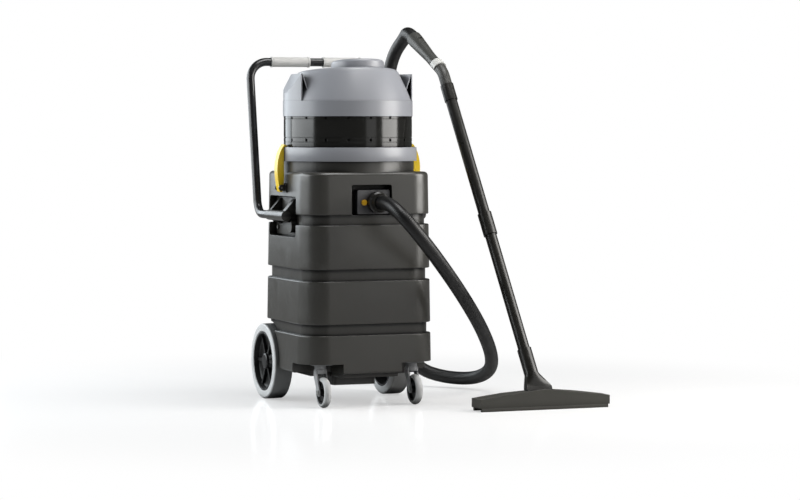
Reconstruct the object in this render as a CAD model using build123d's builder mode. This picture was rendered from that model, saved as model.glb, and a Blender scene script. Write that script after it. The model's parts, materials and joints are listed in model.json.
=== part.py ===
from build123d import *
import os
from math import atan2, cos, degrees, pi, radians, sin, sqrt, tan

# A wet and dry vacuum cleaner: a tall moulded tank on two big wheels and two casters, a
# motor head held by two latches, a tubular push handle, a hose, a two-piece wand and a
# floor tool.  Millimetres, +Z up.  The origin is on the floor under the tank's axis, the
# hose inlet faces -Y, and +X is on the right of someone who faces the inlet.

os.makedirs("parts", exist_ok=True)

# ---------------------------------------------------------------- driving dimensions
# Fits
running_fit = 0.05        # radial clearance of a shaft in its bore
press_gap = 0.05          # radial clearance of pieces that are pressed or glued together
seat_gap = 0.3            # clearance between pieces of different bodies
slide_fit = 0.4           # clearance of moulded pieces that slip into each other

# Tank
tank_half_top = 200       # half width of the square plan at the shoulder
tank_draft = 10           # by which the foot is wider on each side
tank_half_foot = tank_half_top + tank_draft
tank_corner = 80
tank_bottom = 98
tank_top = 690
tank_wall = 5
tank_edge = 12            # rounding of the shoulder
tank_foot_edge = 8
groove_depth = 11
groove_edge = 3
grooves = ((212, 244), (371, 405), (535, 565))     # heights of the three bands
neck_radius = tank_half_top - 3
neck_height = 48
neck_top = tank_top + neck_height
neck_bore = neck_radius - 19
tank_floor = 142          # height of the tank's inside floor
tank_well_top = 250       # the inside is full width above this height
tank_sump_half = 150      # half width of the inside between the wheel arches

# Rear wheels and axle
wheel_radius = 114
wheel_width = 58
wheel_outer_x = tank_half_foot + 11       # outer face of the wheel
wheel_y = 147
tyre_depth = 25
rim_wall = 5
hub_radius = 24
axle_radius = 8
arch_gap = 8              # between the tyre and the wheel arch
arch_side_gap = 5
hanger_x = 147            # brackets that hold the axle under the tank
hanger_thickness = 10
hanger_half = 18
spoke_count = 6
cap_depth = 9
spoke_width = 9

# Casters
caster_x = 144
caster_stem_y = -152
caster_trail = 28
caster_radius = 45
caster_width = 20
caster_tread = 11
caster_fork_wall = 4
caster_axle_radius = 4
caster_top = 128          # ceiling of the caster well
caster_well_x = 92        # inner wall of the well
caster_well_y = -92

# Push handle
handle_x = tank_half_foot + 5             # centre of the side tubes
handle_tube_radius = 12.5
handle_tube_wall = 2
handle_low_z = 559
handle_high_z = 1021
handle_low_y = 205        # where the lower tubes turn up
handle_high_y = 283       # crossbar
handle_low_bend = 50
handle_high_bend = 55
handle_end_y = 20         # end of the tube inside its socket
grip_radius = 15
grip_inner_x = 22
grip_outer_x = 147
grip_collar = 5

# Handle brackets and the side recesses that hold them
recess_front_y = -103
recess_back_y = 133
recess_low_z = 497
recess_high_z = 617
recess_depth = 26
recess_corner = 10
socket_radius = 15.5
socket_front_y = -56
socket_back_y = 98
bracket_plate = 5

# Latches
latch_width = 28
latch_pivot_out = 10      # of the pivot outside the ring
latch_pivot_drop = 48     # of the pivot below the tank's shoulder
latch_pin_radius = 3
latch_ear = 4

# Head
ring_radius = neck_radius + 9      # pale ring that carries the head
ring_low = neck_top - 17
ring_top = neck_top + 24
gasket_height = 3
deck_thickness = 8
vent_radius = ring_radius - 14
vent_height = 92
vent_wall = 4
vent_count = 18
vent_slot = 8
vent_baffle_radius = vent_radius - 12      # inner wall behind the slots
skirt_radius = vent_radius + 2
skirt_height = 46
skirt_low = ring_top + vent_height
skirt_top = skirt_low + skirt_height
dome_foot_radius = skirt_radius - 4
dome_middle_radius = dome_foot_radius - 21.5
dome_middle_z = skirt_top + 50
dome_crown_radius = dome_foot_radius - 48
dome_wall = 4
crown_z = skirt_top + 88  # height of the sloping top over the axis
dome_crown_z = crown_z + 14        # just above the sloping top's front edge
crown_tilt = 5            # degrees that the top falls towards the back
crown_edge = 14
cap_radius = 80
cap_height = 30
cap_x = 12                # of the cap's centre on the sloping top
cap_y = -52
skirt_ledge = 1           # step of the lifting ears behind the skirt
lift_half_width = 79      # half width of the side lifting ears
lift_top = skirt_top + 80
lift_wall = 3             # round the pocket in an ear's front end
lift_pocket = 45
motor_x = 76
motor_radius = 66
motor_height = 118
fan_radius = 46

# Hose inlet
inlet_recess_half = 63
inlet_recess_low = 564
inlet_recess_high = 653
inlet_recess_depth = 36
inlet_plate_left = -43
inlet_plate_right = 60
inlet_plate_low = 567
inlet_plate_high = 638
inlet_plate_front = -194
inlet_x = 18
inlet_z = 601
button_x = -22
button_radius = 8.5
button_travel = 4
spigot_radius = 24
spigot_bore = 19
collar_radius = 31

# Hose
hose_radius = 20.5

# Wand and floor tool
wand_foot = Vector(417, -415, 101)
wand_bend = Vector(305, -7, 989)
wand_end = Vector(279, 163, 1094)
wand_radius = 17.5
wand_wall = 1.5
coupling_radius = 21
coupling_wall = 3.2
coupling_length = 70
collar_length = 52
handle_bend_radius = 60
handle_end_radius = 23.5
slot_back = 34            # of the grip's cross slot from the hose end
slot_length = 22
slot_width = 7
slot_depth = 4
tool_x = 440
tool_half = 207
tool_front_y = -466
tool_depth = 64
tool_end_height = 36
tool_mid_height = 60
tool_blade_height = 10
tool_pivot_x = 431
tool_pivot_z = 38
tool_pin_radius = 4


def tank_half(z):
    """Half width of the tank's tapered plan at a height."""
    share = (z - tank_bottom) / (tank_top - tank_bottom)
    return tank_half_foot + (tank_half_top - tank_half_foot) * share


def save(builder, name):
    builder.part.label = name
    export_step(builder.part, f"parts/{name}.step")


# ------------------------------------------------------------------------- tank shell
wheel_inner_x = wheel_outer_x - wheel_width
arch_x = wheel_inner_x - arch_side_gap
arch_radius = wheel_radius + arch_gap
wheel_z = wheel_radius
axle_slot_half = 22
axle_slot_top = wheel_z + hanger_half + 2
recess_floor_x = tank_half((recess_low_z + recess_high_z) / 2) - recess_depth
inlet_recess_floor = -tank_half(inlet_recess_low) + inlet_recess_depth
groove_half = min(tank_half_top, tank_half_foot) - groove_depth
cavity_half = groove_half - tank_wall
cavity_corner = tank_corner - groove_depth - tank_wall
cavity_top = tank_top - tank_wall - 1

with BuildPart() as tank_cavity:
    with BuildSketch(Plane.XY.offset(tank_well_top)):
        RectangleRounded(2 * cavity_half, 2 * cavity_half, cavity_corner)
    extrude(amount=cavity_top - tank_well_top)
    with BuildSketch(Plane.XY.offset(tank_floor)):
        RectangleRounded(2 * tank_sump_half, 2 * cavity_half - groove_depth, 40)
    extrude(amount=tank_well_top - tank_floor)
    # walls of the inlet recess and of the handle recesses stand into the inside
    with BuildSketch(Plane.XZ.offset(-inlet_recess_floor - tank_wall)):
        with Locations((0, (inlet_recess_low + inlet_recess_high) / 2)):
            RectangleRounded(2 * (inlet_recess_half + tank_wall),
                             inlet_recess_high - inlet_recess_low + 2 * tank_wall, 8)
    extrude(amount=inlet_recess_depth, mode=Mode.SUBTRACT)
    for side in (-1, 1):
        with BuildSketch(Plane.YZ.offset(side * (recess_floor_x - tank_wall))):
            with Locations(((recess_front_y + recess_back_y) / 2,
                            (recess_low_z + recess_high_z) / 2)):
                RectangleRounded(recess_back_y - recess_front_y + 2 * tank_wall,
                                 recess_high_z - recess_low_z + 2 * tank_wall, recess_corner)
        extrude(amount=side * recess_depth, mode=Mode.SUBTRACT)
    with BuildSketch(Plane.XY.offset(cavity_top)):
        Circle(neck_bore)
    extrude(amount=neck_top - cavity_top)

with BuildPart() as tank:
    with BuildSketch(Plane.XY.offset(tank_bottom)):
        RectangleRounded(2 * tank_half_foot, 2 * tank_half_foot, tank_corner)
    extrude(amount=tank_top - tank_bottom,
            taper=degrees(atan2(tank_half_foot - tank_half_top, tank_top - tank_bottom)))
    fillet(tank.faces().sort_by(Axis.Z)[-1].edges(), tank_edge)
    fillet(tank.faces().sort_by(Axis.Z)[0].edges(), tank_foot_edge)
    for low, high in grooves:
        floor_half = tank_half((low + high) / 2) - groove_depth
        with BuildSketch(Plane.XY.offset(low)):
            Rectangle(3 * tank_half_foot, 3 * tank_half_foot)
            RectangleRounded(2 * floor_half, 2 * floor_half, tank_corner - groove_depth,
                             mode=Mode.SUBTRACT)
        extrude(amount=high - low, mode=Mode.SUBTRACT)
        for level in (low, high):
            ledge = tank.faces().filter_by_position(Axis.Z, level - 0.1, level + 0.1)[0]
            fillet(ledge.outer_wire().edges(), groove_edge)
    with BuildSketch(Plane.XY.offset(tank_top - tank_wall)):
        Circle(neck_radius)
    extrude(amount=neck_top - tank_top + tank_wall)
    # wheel arches
    for side in (-1, 1):
        with BuildSketch(Plane.YZ.offset(side * arch_x)):
            with Locations((wheel_y, wheel_z)):
                Circle(arch_radius)
            with Locations((wheel_y - arch_radius, wheel_z)):
                Rectangle(3 * arch_radius, wheel_z, align=(Align.MIN, Align.MAX))
        extrude(amount=side * 2 * wheel_width, mode=Mode.SUBTRACT)
    # caster wells under the front corners
    for side in (-1, 1):
        with BuildSketch(Plane.XY):
            with Locations((side * (caster_well_x + tank_half_foot), caster_well_y - tank_half_foot)):
                RectangleRounded(2 * tank_half_foot, 2 * tank_half_foot, 16)
        extrude(amount=caster_top, mode=Mode.SUBTRACT)
    # slot for the rear axle and its hangers
    with BuildSketch(Plane.XY):
        with Locations((0, wheel_y)):
            Rectangle(2 * arch_x + 2, 2 * axle_slot_half)
    extrude(amount=axle_slot_top, mode=Mode.SUBTRACT)
    # inlet recess in the front
    with BuildSketch(Plane.XZ.offset(-inlet_recess_floor)):
        with Locations((0, (inlet_recess_low + inlet_recess_high) / 2)):
            RectangleRounded(2 * inlet_recess_half, inlet_recess_high - inlet_recess_low, 6)
    extrude(amount=2 * inlet_recess_depth, mode=Mode.SUBTRACT)
    # handle recesses in the sides
    for side in (-1, 1):
        with BuildSketch(Plane.YZ.offset(side * recess_floor_x)):
            with Locations(((recess_front_y + recess_back_y) / 2,
                            (recess_low_z + recess_high_z) / 2)):
                RectangleRounded(recess_back_y - recess_front_y, recess_high_z - recess_low_z,
                                 recess_corner)
        extrude(amount=side * 2 * recess_depth, mode=Mode.SUBTRACT)
    add(tank_cavity.part, mode=Mode.SUBTRACT)
    # inlet hole through the recess wall
    with BuildSketch(Plane.XZ.offset(-inlet_recess_floor)):
        with Locations((inlet_x, inlet_z)):
            Circle(spigot_radius + slide_fit)
    extrude(amount=-3 * tank_wall, mode=Mode.SUBTRACT)
save(tank, "tank")

# ---------------------------------------------------------------------------- chassis
chassis_plate = 12
plate_front = -186
plate_back = 192
chassis_low = 53
keel_half = 68
keel_front = -57
keel_back = 105

with BuildPart() as chassis:
    with BuildSketch(Plane.XY.offset(tank_bottom - chassis_plate)):
        with Locations((0, (plate_front + plate_back) / 2)):
            Rectangle(2 * (caster_well_x - 4), plate_back - plate_front)
        with Locations((0, (caster_well_y + plate_back) / 2)):
            Rectangle(2 * (hanger_x + hanger_thickness / 2), plate_back - caster_well_y)
    extrude(amount=chassis_plate)
    with BuildSketch(Plane.XY.offset(chassis_low)):
        with Locations((0, (keel_front + keel_back) / 2)):
            RectangleRounded(2 * keel_half, keel_back - keel_front, 12)
    extrude(amount=tank_bottom - chassis_low - chassis_plate)
    for side in (-1, 1):
        with BuildSketch(Plane.YZ.offset(side * (hanger_x - hanger_thickness / 2))):
            with Locations((wheel_y, wheel_z)):
                Circle(hanger_half)
            with Locations((wheel_y, (tank_bottom + wheel_z) / 2)):
                Rectangle(2 * hanger_half, wheel_z - tank_bottom)
            with Locations((wheel_y, wheel_z)):
                Circle(axle_radius + press_gap, mode=Mode.SUBTRACT)
        extrude(amount=side * hanger_thickness)
save(chassis, "chassis")

# ------------------------------------------------------------- rear axle and big wheels
axle_head = 3

with BuildPart() as rear_axle:
    with BuildSketch(Plane.YZ.offset(-(wheel_outer_x - 12))):
        with Locations((wheel_y, wheel_z)):
            Circle(axle_radius)
    extrude(amount=2 * (wheel_outer_x - 12))
    for side in (-1, 1):
        with BuildSketch(Plane.YZ.offset(side * (wheel_outer_x - 12))):
            with Locations((wheel_y, wheel_z)):
                Circle(axle_radius + 5)
        extrude(amount=side * axle_head)
save(rear_axle, "rear_axle")

rim_radius = wheel_radius - tyre_depth
web_thickness = 6
hub_inner_x = wheel_inner_x + 2
hub_outer_x = wheel_outer_x - 13
web_x = wheel_outer_x - 24


def axial_sketch_plane(side):
    """Plane through the wheel's axis: local X runs outwards along the axle, local Y is radial."""
    return Plane(origin=(0, wheel_y, wheel_z), x_dir=(side, 0, 0), z_dir=(0, -side, 0))


def wheel_rim(side):
    """Barrel, dished web, hub and spokes of one wheel."""
    with BuildPart() as rim:
        with BuildSketch(axial_sketch_plane(side)):
            with BuildLine():
                Polyline((wheel_inner_x, rim_radius), (wheel_outer_x - 2, rim_radius),
                         (wheel_outer_x - 1, rim_radius - rim_wall),
                         (web_x + web_thickness + 3, rim_radius - rim_wall - 4),
                         (web_x + web_thickness, rim_radius - rim_wall - 9),
                         (web_x + web_thickness - 4, hub_radius + 8),
                         (hub_outer_x, hub_radius), (hub_outer_x, axle_radius + running_fit),
                         (hub_inner_x, axle_radius + running_fit), (hub_inner_x, hub_radius),
                         (web_x - 4, hub_radius + 6), (web_x, rim_radius - rim_wall - 6),
                         (wheel_inner_x, rim_radius - rim_wall), close=True)
            make_face()
        revolve(axis=Axis((0, wheel_y, wheel_z), (1, 0, 0)))
        with BuildSketch(Plane.YZ.offset(side * (web_x + web_thickness - 5))):
            with Locations((wheel_y, wheel_z)):
                with PolarLocations((hub_radius + rim_radius) / 2, spoke_count):
                    Rectangle(rim_radius - hub_radius - 1, spoke_width)
        extrude(amount=side * 12)
    return rim


def wheel_tyre(side):
    """Solid tyre with a flat, softly crowned tread."""
    inner = rim_radius + press_gap
    crown = wheel_radius - 0.6
    shoulder = wheel_radius - 7
    with BuildPart() as tyre:
        with BuildSketch(axial_sketch_plane(side)):
            with BuildLine():
                Polyline((wheel_outer_x - 3, inner), (wheel_outer_x, inner + 3),
                         (wheel_outer_x, shoulder))
                ThreePointArc((wheel_outer_x, shoulder), (wheel_outer_x - 2, crown - 1.5),
                              (wheel_outer_x - 8, crown))
                ThreePointArc((wheel_outer_x - 8, crown),
                              ((wheel_outer_x + wheel_inner_x) / 2, wheel_radius),
                              (wheel_inner_x + 8, crown))
                ThreePointArc((wheel_inner_x + 8, crown), (wheel_inner_x + 2, crown - 1.5),
                              (wheel_inner_x, shoulder))
                Polyline((wheel_inner_x, shoulder), (wheel_inner_x, inner),
                         (wheel_outer_x - 3, inner))
            make_face()
        revolve(axis=Axis((0, wheel_y, wheel_z), (1, 0, 0)))
    return tyre


def wheel_cap(side):
    """Domed cap pressed over the hub; it hides the end of the axle."""
    with BuildPart() as cap:
        with BuildSketch(Plane.YZ.offset(side * (hub_outer_x + press_gap))):
            with Locations((wheel_y, wheel_z)):
                Circle(hub_radius)
        extrude(amount=side * cap_depth)
        fillet(cap.edges().group_by(Axis.X)[-1 if side > 0 else 0], cap_depth - 3)
        with BuildSketch(Plane.YZ.offset(side * hub_outer_x)):
            with Locations((wheel_y, wheel_z)):
                Circle(axle_radius + 8)
        extrude(amount=side * (cap_depth - 3), mode=Mode.SUBTRACT)
    return cap


for side, side_name in ((-1, "left"), (1, "right")):
    save(wheel_rim(side), f"wheel_{side_name}_rim")
    save(wheel_tyre(side), f"wheel_{side_name}_tyre")
    save(wheel_cap(side), f"wheel_{side_name}_cap")

# ---------------------------------------------------------------------------- casters
caster_wheel_y = caster_stem_y - caster_trail
stem_radius = 5
cup_radius = 17
crown_top = 111.5
crown_low = 99
fork_gap = 2.5
fork_inner = caster_width / 2 + fork_gap
fork_outer = fork_inner + caster_fork_wall
fork_half = 11


def caster_mount(x):
    """Top plate, bearing cup and king pin."""
    with BuildPart() as mount:
        with BuildSketch(Plane.XY.offset(caster_top - 4)):
            with Locations((x, caster_stem_y)):
                RectangleRounded(60, 60, 6)
        extrude(amount=4)
        with BuildSketch(Plane.XY.offset(crown_top + seat_gap)):
            with Locations((x, caster_stem_y)):
                Circle(cup_radius)
        extrude(amount=caster_top - 4 - crown_top - seat_gap)
        with BuildSketch(Plane.XY.offset(crown_low - 5)):
            with Locations((x, caster_stem_y)):
                Circle(stem_radius)
        extrude(amount=crown_top - crown_low + 6)
        with BuildSketch(Plane.XY.offset(crown_low - 5)):
            with Locations((x, caster_stem_y)):
                Circle(stem_radius + 3)
        extrude(amount=5 - seat_gap)
    return mount


def caster_fork(x):
    """Moulded yoke: a round crown and two swept arms down to the wheel's axle."""
    with BuildPart() as fork:
        with BuildSketch(Plane.XY.offset(crown_low)):
            with Locations((x, caster_stem_y)):
                Circle(fork_outer + 2)
                Circle(stem_radius + running_fit, mode=Mode.SUBTRACT)
        extrude(amount=crown_top - crown_low)
        for side in (-1, 1):
            with BuildSketch(Plane.YZ.offset(x + side * fork_inner)):
                with BuildLine():
                    Polyline((caster_stem_y + 13, crown_top - 3), (caster_stem_y + 12, crown_low - 8),
                             (caster_wheel_y + fork_half, caster_radius))
                    RadiusArc((caster_wheel_y + fork_half, caster_radius),
                              (caster_wheel_y - fork_half, caster_radius), fork_half)
                    Line((caster_wheel_y - fork_half, caster_radius), (caster_stem_y - 13, crown_low))
                    Line((caster_stem_y - 13, crown_low), (caster_stem_y - 13, crown_top - 3))
                    Line((caster_stem_y - 13, crown_top - 3), (caster_stem_y + 13, crown_top - 3))
                make_face()
                with Locations((caster_wheel_y, caster_radius)):
                    Circle(caster_axle_radius + press_gap, mode=Mode.SUBTRACT)
            extrude(amount=side * caster_fork_wall)
    return fork


def caster_axle(x):
    head = 2.5
    with BuildPart() as axle:
        with BuildSketch(Plane.YZ.offset(x - fork_outer)):
            with Locations((caster_wheel_y, caster_radius)):
                Circle(caster_axle_radius)
        extrude(amount=2 * fork_outer)
        for side in (-1, 1):
            with BuildSketch(Plane.YZ.offset(x + side * (fork_outer + press_gap))):
                with Locations((caster_wheel_y, caster_radius)):
                    RegularPolygon(caster_axle_radius + 3, 6)
            extrude(amount=side * head)
            with BuildSketch(Plane.YZ.offset(x + side * (fork_outer - 1))):
                with Locations((caster_wheel_y, caster_radius)):
                    Circle(caster_axle_radius)
            extrude(amount=side * 2)
    return axle


def caster_plane(x):
    return Plane(origin=(x, caster_wheel_y, caster_radius), x_dir=(1, 0, 0), z_dir=(0, -1, 0))


def caster_hub(x):
    """Black wheel centre: rim, thin web and a boss as wide as the fork lets it be."""
    half = caster_width / 2
    rim = caster_radius - caster_tread
    boss = fork_inner - seat_gap
    with BuildPart() as hub:
        with BuildSketch(caster_plane(x)):
            with BuildLine():
                Polyline((-half + 1, rim), (half - 1, rim), (half - 1, rim - 4), (3, rim - 7),
                         (3, 11), (boss, 9), (boss, caster_axle_radius + running_fit),
                         (-boss, caster_axle_radius + running_fit), (-boss, 9), (-3, 11),
                         (-3, rim - 7), (-half + 1, rim - 4), close=True)
            make_face()
        revolve(axis=Axis((x, caster_wheel_y, caster_radius), (1, 0, 0)))
    return hub


def caster_tread_ring(x):
    half = caster_width / 2
    inner = caster_radius - caster_tread + press_gap
    with BuildPart() as tread:
        with BuildSketch(caster_plane(x)):
            with BuildLine():
                Polyline((-half, inner), (-half, caster_radius - 5))
                ThreePointArc((-half, caster_radius - 5), (0, caster_radius),
                              (half, caster_radius - 5))
                Polyline((half, caster_radius - 5), (half, inner), (-half, inner))
            make_face()
        revolve(axis=Axis((x, caster_wheel_y, caster_radius), (1, 0, 0)))
    return tread


for side, side_name in ((-1, "left"), (1, "right")):
    x = side * caster_x
    save(caster_mount(x), f"caster_{side_name}_mount")
    save(caster_fork(x), f"caster_{side_name}_fork")
    save(caster_axle(x), f"caster_{side_name}_axle")
    save(caster_hub(x), f"caster_{side_name}_hub")
    save(caster_tread_ring(x), f"caster_{side_name}_tread")

# ------------------------------------------------------------------------ push handle
handle_points = [
    (-handle_x, handle_end_y, handle_low_z), (-handle_x, handle_low_y, handle_low_z),
    (-handle_x, handle_high_y, handle_high_z), (handle_x, handle_high_y, handle_high_z),
    (handle_x, handle_low_y, handle_low_z), (handle_x, handle_end_y, handle_low_z)]
handle_bends = [handle_low_bend, handle_high_bend, handle_high_bend, handle_low_bend]

with BuildPart() as handle_tube:
    with BuildLine():
        FilletPolyline(*handle_points, radius=handle_bends)
    with BuildSketch(Plane.XZ.offset(-handle_end_y)):
        with Locations((-handle_x, handle_low_z)):
            Circle(handle_tube_radius)
            Circle(handle_tube_radius - handle_tube_wall, mode=Mode.SUBTRACT)
    sweep()
save(handle_tube, "handle_tube")

for side, side_name in ((-1, "left"), (1, "right")):
    with BuildPart() as grip:
        with BuildSketch(Plane.YZ.offset(side * grip_inner_x)):
            with Locations((handle_high_y, handle_high_z)):
                Circle(grip_radius)
                Circle(handle_tube_radius + press_gap, mode=Mode.SUBTRACT)
        extrude(amount=side * (grip_outer_x - grip_inner_x))
        for start, way in ((grip_inner_x, 1), (grip_outer_x, -1)):
            with BuildSketch(Plane.YZ.offset(side * start)):
                with Locations((handle_high_y, handle_high_z)):
                    Circle(grip_radius + 1.2)
                    Circle(handle_tube_radius + press_gap, mode=Mode.SUBTRACT)
            extrude(amount=side * way * grip_collar)
    save(grip, f"handle_grip_{side_name}")

# ------------------------------------------------- handle brackets, bolts and recesses
cheek_front = 24          # thickness of the two cheeks
cheek_back = 14
bolt_radius = 7
bolt_head = 4
bolt_y = (-80, 110)
bolt_z = (522, 592)


def bracket(side):
    """Socket for one end of the handle, two cheeks and the plate bolted to the tank."""
    plate_x = recess_floor_x + seat_gap
    with BuildPart() as part:
        with BuildSketch(Plane.YZ.offset(side * plate_x)):
            with Locations(((recess_front_y + recess_back_y) / 2,
                            (recess_low_z + recess_high_z) / 2)):
                RectangleRounded(recess_back_y - recess_front_y - 8,
                                 recess_high_z - recess_low_z - 8, recess_corner - 4)
        extrude(amount=side * bracket_plate)
        for start, thickness in ((socket_front_y + 6, cheek_front),
                                 (socket_back_y - 6 - cheek_back, cheek_back)):
            with BuildSketch(Plane.XZ.offset(-start)):
                with BuildLine():
                    Polyline((side * (plate_x + 1), recess_high_z - 8),
                             (side * (plate_x + 9), recess_high_z - 8),
                             (side * (handle_x + 2), handle_low_z + socket_radius - 1),
                             (side * handle_x, handle_low_z - socket_radius + 1),
                             (side * (plate_x + 1), handle_low_z - socket_radius - 12),
                             close=True)
                make_face()
            extrude(amount=-thickness)
        with BuildSketch(Plane.XZ.offset(-socket_front_y)):
            with Locations((side * handle_x, handle_low_z)):
                Circle(socket_radius)
        extrude(amount=-(socket_back_y - socket_front_y))
        with BuildSketch(Plane.YZ.offset(side * (plate_x + 1))):
            with Locations((socket_front_y + 12, handle_low_z - socket_radius - 14)):
                Circle(20)
        extrude(amount=side * 24)
        with BuildSketch(Plane.XZ.offset(-(handle_end_y - 0.5))):
            with Locations((side * handle_x, handle_low_z)):
                Circle(handle_tube_radius + press_gap)
        extrude(amount=-2 * socket_back_y, mode=Mode.SUBTRACT)
    return part


for side, side_name in ((-1, "left"), (1, "right")):
    save(bracket(side), f"handle_bracket_{side_name}")

with BuildPart() as bracket_bolts:
    for side in (-1, 1):
        with BuildSketch(Plane.YZ.offset(side * (recess_floor_x + 2 * seat_gap + bracket_plate))):
            for y in bolt_y:
                for z in bolt_z:
                    with Locations((y, z)):
                        RegularPolygon(bolt_radius, 6)
        extrude(amount=side * bolt_head)
save(bracket_bolts, "bracket_bolts")

# ---------------------------------------------------------------------------- latches
latch_pivot_x = ring_radius + latch_pivot_out
latch_pivot_z = tank_top - latch_pivot_drop
hook_tip_x = ring_radius - 9
hook_low = ring_top + 1
latch_inner_x = ring_radius + 1.2


def latch(side):
    """Leaf-shaped clamp: hooked over the ring at the top, pinned near its lower tip."""
    with BuildPart() as part:
        with BuildSketch(Plane.XZ.offset(-latch_width / 2)):
            with BuildLine():
                Polyline((latch_inner_x, hook_low), (hook_tip_x, hook_low),
                         (hook_tip_x, hook_low + 5), (hook_tip_x + 8, hook_low + 8))
                Spline((hook_tip_x + 8, hook_low + 8), (latch_pivot_x + 5, hook_low - 21),
                       (latch_pivot_x + 12, latch_pivot_z + 58),
                       (latch_pivot_x + 9, latch_pivot_z + 18),
                       (latch_pivot_x + 5, latch_pivot_z - 8))
                Spline((latch_pivot_x + 5, latch_pivot_z - 8),
                       (latch_pivot_x, latch_pivot_z - 13),
                       (latch_pivot_x - 6, latch_pivot_z - 6))
                Polyline((latch_pivot_x - 6, latch_pivot_z - 6),
                         (latch_inner_x, latch_pivot_z + 26), (latch_inner_x, hook_low))
            make_face()
            with Locations((latch_pivot_x, latch_pivot_z)):
                Circle(latch_pin_radius + running_fit, mode=Mode.SUBTRACT)
        extrude(amount=latch_width)
    if side < 0:
        with BuildPart() as mirrored:
            add(mirror(part.part, about=Plane.YZ))
        return mirrored
    return part


for side, side_name in ((-1, "left"), (1, "right")):
    save(latch(side), f"latch_{side_name}")

ear_gap = 0.4
ear_half = 9
mount_half = 14
ear_foot_x = max(tank_half(latch_pivot_z - mount_half), tank_half(latch_pivot_z + mount_half)) + 0.05

with BuildPart() as latch_mounts:
    for side in (-1, 1):
        with BuildSketch(Plane.YZ.offset(side * ear_foot_x)):
            with Locations((0, latch_pivot_z)):
                RectangleRounded(latch_width + 18, 2 * mount_half, 4)
        extrude(amount=side * 3)
        for way in (-1, 1):
            with BuildSketch(Plane.XZ.offset(-way * (latch_width / 2 + ear_gap))):
                with Locations((side * latch_pivot_x, latch_pivot_z)):
                    Circle(ear_half)
                with Locations((side * (ear_foot_x + latch_pivot_x) / 2, latch_pivot_z)):
                    Rectangle(latch_pivot_x - ear_foot_x, 2 * ear_half)
                with Locations((side * latch_pivot_x, latch_pivot_z)):
                    Circle(latch_pin_radius + press_gap, mode=Mode.SUBTRACT)
            extrude(amount=-way * latch_ear)
save(latch_mounts, "latch_mounts")

with BuildPart() as latch_pins:
    latch_pin_half = latch_width / 2 + ear_gap + latch_ear
    for side in (-1, 1):
        with BuildSketch(Plane.XZ.offset(-latch_pin_half)):
            with Locations((side * latch_pivot_x, latch_pivot_z)):
                Circle(latch_pin_radius)
        extrude(amount=2 * latch_pin_half)
save(latch_pins, "latch_pins")

# ------------------------------------------------------------------ head: base and deck
deck_low = neck_top + gasket_height
deck_top = deck_low + deck_thickness
gasket_inner = neck_bore + 6
plenum_top = deck_top + 16
float_hole = 28
vent_seat = vent_radius + slide_fit

with BuildPart() as head_gasket:
    with BuildSketch(Plane.XY.offset(neck_top)):
        Circle(neck_radius - 1)
        Circle(gasket_inner, mode=Mode.SUBTRACT)
    extrude(amount=gasket_height)
save(head_gasket, "head_gasket")

with BuildPart() as head_base:
    with BuildSketch(Plane.XZ):
        with BuildLine():
            Polyline((0, deck_low), (neck_radius + 1.5, deck_low), (neck_radius + 1.5, ring_low),
                     (ring_radius - 1, ring_low), (ring_radius, ring_low + 2),
                     (ring_radius, ring_top - 2), (ring_radius - 1, ring_top),
                     (vent_seat, ring_top), (vent_seat, deck_top), (0, deck_top), close=True)
        make_face()
    revolve(axis=Axis.Z)
    # flat air channel from the float valve to the two motors
    with BuildSketch(Plane.XY.offset(deck_top)):
        SlotCenterToCenter(2 * motor_x, 2 * float_hole + 14)
    extrude(amount=plenum_top - deck_top)
    with BuildSketch(Plane.XY.offset(deck_low + 3)):
        SlotCenterToCenter(2 * motor_x, 2 * float_hole)
    extrude(amount=plenum_top - deck_low - 7, mode=Mode.SUBTRACT)
    with BuildSketch(Plane.XY.offset(deck_low)):
        Circle(float_hole)
    extrude(amount=5, mode=Mode.SUBTRACT)
    with BuildSketch(Plane.XY.offset(plenum_top - 6)):
        with Locations((-motor_x, 0), (motor_x, 0)):
            Circle(20)
    extrude(amount=8, mode=Mode.SUBTRACT)
save(head_base, "head_base")

# --------------------------------------------------------------- float valve in its cage
ball_radius = 30
cage_inner = 36
cage_wall = 3
cage_low = deck_low - 73
cage_windows = 8

with BuildPart() as float_cage:
    with BuildSketch(Plane.XY.offset(cage_low)):
        Circle(cage_inner + cage_wall)
    extrude(amount=deck_low - cage_low)
    with BuildSketch(Plane.XY.offset(deck_low - 4)):
        Circle(cage_inner + 12)
    extrude(amount=4)
    with BuildSketch(Plane.XY.offset(cage_low + cage_wall)):
        Circle(cage_inner)
    extrude(amount=deck_low - cage_low, mode=Mode.SUBTRACT)
    with BuildSketch(Plane.XY.offset(cage_low + 12)):
        with PolarLocations(cage_inner, cage_windows):
            Rectangle(20, 14)
    extrude(amount=deck_low - cage_low - 24, mode=Mode.SUBTRACT)
save(float_cage, "float_cage")

with BuildPart() as float_ball:
    with Locations((0, 0, cage_low + cage_wall + seat_gap + ball_radius)):
        Sphere(ball_radius)
save(float_ball, "float_ball")

# ------------------------------------------------------------------------- vent ring
vent_low = deck_top + press_gap
vent_line = 1.2
vent_rows = (ring_top + 22, skirt_low - 4)
vent_lines = ((ring_top + 0.5, ring_top + 2.5), (ring_top + 15, ring_top + 16.5),
              (ring_top + 28, ring_top + 30), (skirt_low - 8.5, skirt_low - 7))

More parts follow.
